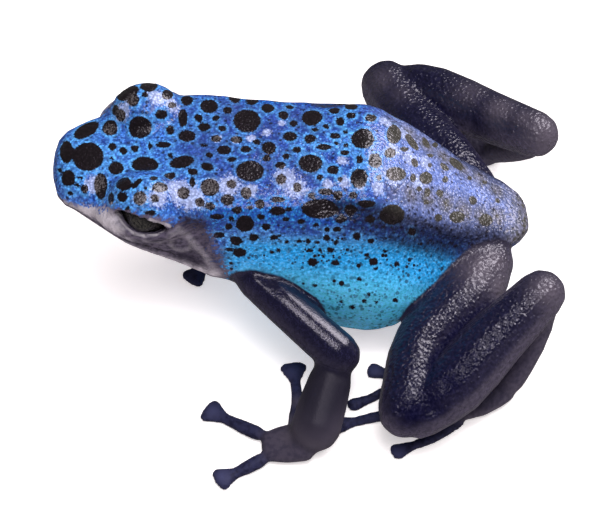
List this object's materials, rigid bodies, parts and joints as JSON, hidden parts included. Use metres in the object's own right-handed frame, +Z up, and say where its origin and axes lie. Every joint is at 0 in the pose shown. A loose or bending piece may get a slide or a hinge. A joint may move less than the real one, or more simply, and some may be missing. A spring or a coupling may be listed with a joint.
{
  "type": "blue poison dart frog",
  "caption": "Life-size still model of a blue poison dart frog at rest on a flat floor, blue back with dark spots, navy limbs, jointless.",
  "frame": {"origin": "middle of the bounding box in plan, at the floor that the frog stands on", "axes": "+Z up from the floor, the snout points along -Y, the frog's left side is +X"},
  "size_m": [0.0428, 0.0434, 0.0177],
  "materials": {
    "skin": "moist fine-grained skin, blue with near-black spots on head and trunk, dark navy on the limbs",
    "eye": "wet, very glossy near-black eyeball"
  },
  "bodies": {
    "root": {"head": "skin", "torso": "skin", "eye_left": "eye", "eye_right": "eye", "upper_arm_left": "skin", "forearm_left": "skin", "hand_left": "skin", "thigh_left": "skin", "shank_left": "skin", "tarsus_left": "skin", "foot_left": "skin", "finger_1_left": "skin", "finger_2_left": "skin", "finger_3_left": "skin", "finger_4_left": "skin", "toe_1_left": "skin", "toe_2_left": "skin", "toe_3_left": "skin", "toe_4_left": "skin", "toe_5_left": "skin", "upper_arm_right": "skin", "forearm_right": "skin", "hand_right": "skin", "thigh_right": "skin", "shank_right": "skin", "tarsus_right": "skin", "foot_right": "skin", "finger_1_right": "skin", "finger_2_right": "skin", "finger_3_right": "skin", "finger_4_right": "skin", "toe_1_right": "skin", "toe_2_right": "skin", "toe_3_right": "skin", "toe_4_right": "skin", "toe_5_right": "skin"}
  },
  "joints": []
}
